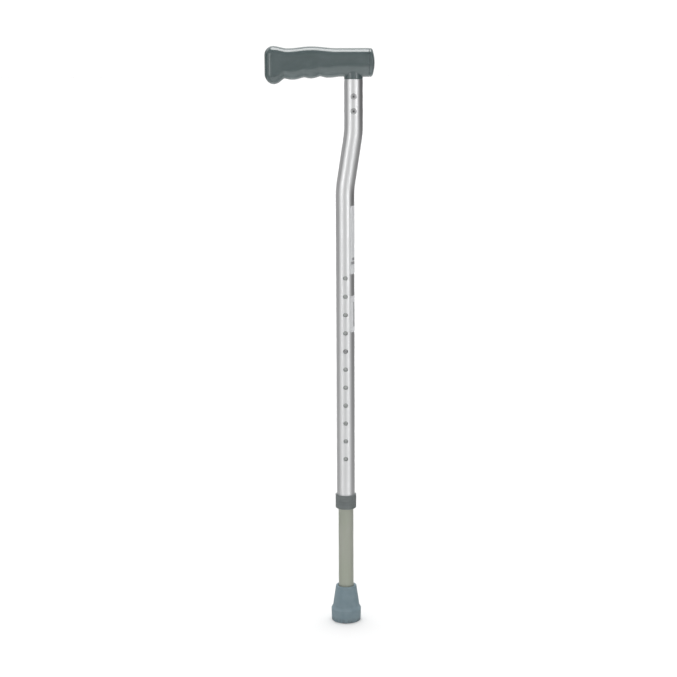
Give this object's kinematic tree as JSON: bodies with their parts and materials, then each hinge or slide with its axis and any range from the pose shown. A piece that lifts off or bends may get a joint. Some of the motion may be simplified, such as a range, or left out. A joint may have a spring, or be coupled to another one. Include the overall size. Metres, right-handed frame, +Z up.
{
  "type": "walking stick",
  "caption": "Height-adjustable aluminium walking stick with a swan-neck top, moulded palm handle, spring button in a row of setting holes and a flared rubber ferrule.",
  "frame": {"origin": "centre of the ferrule's base, on the floor", "axes": "+Z up along the shaft; -X towards the handle's nose; -Y the side with the setting holes, the button and the rivets"},
  "size_m": [0.1472, 0.0418, 0.8036],
  "materials": {
    "handle_plastic": "glossy dark grey-green moulding",
    "core_plastic": "glass-filled, matt black",
    "bright_aluminium": "bright drawn and clear anodised",
    "rivet_aluminium": "bare",
    "spring_steel": "bare strip",
    "button_steel": "plated",
    "label_film": "printed film",
    "collar_plastic": "satin moulding",
    "bush_nylon": "natural nylon",
    "coated_aluminium": "matt grey-beige anodised",
    "ferrule_rubber": "blue-grey, matt"
  },
  "bodies": {
    "lower_shaft": {"lower_tube": "coated_aluminium", "guide_bush": "bush_nylon", "button_spring": "spring_steel", "ferrule": "ferrule_rubber", "ferrule_washer": "spring_steel"},
    "upper_shaft": {"upper_tube": "bright_aluminium", "end_collar": "collar_plastic", "collar_bush": "bush_nylon", "upper_label": "label_film", "lower_label": "label_film", "neck_rivets": "rivet_aluminium", "rivet_mandrels": "spring_steel", "handle_core": "core_plastic", "handle_grip": "handle_plastic", "handle_end_cap": "handle_plastic"},
    "button": {"snap_button": "button_steel"}
  },
  "joints": [
    {"name": "height_adjust", "type": "slide", "parent": "lower_shaft", "child": "upper_shaft", "axis": [0, 0, 1], "range_m": [-0.1016, 0.1524], "deforming": ["snap_button"]},
    {"name": "button_press", "type": "slide", "parent": "lower_shaft", "child": "button", "axis": [0, 1, 0], "range_m": [0, 0.0042], "stiffness_N_per_m": 3000, "deforming": ["button_spring"]}
  ]
}
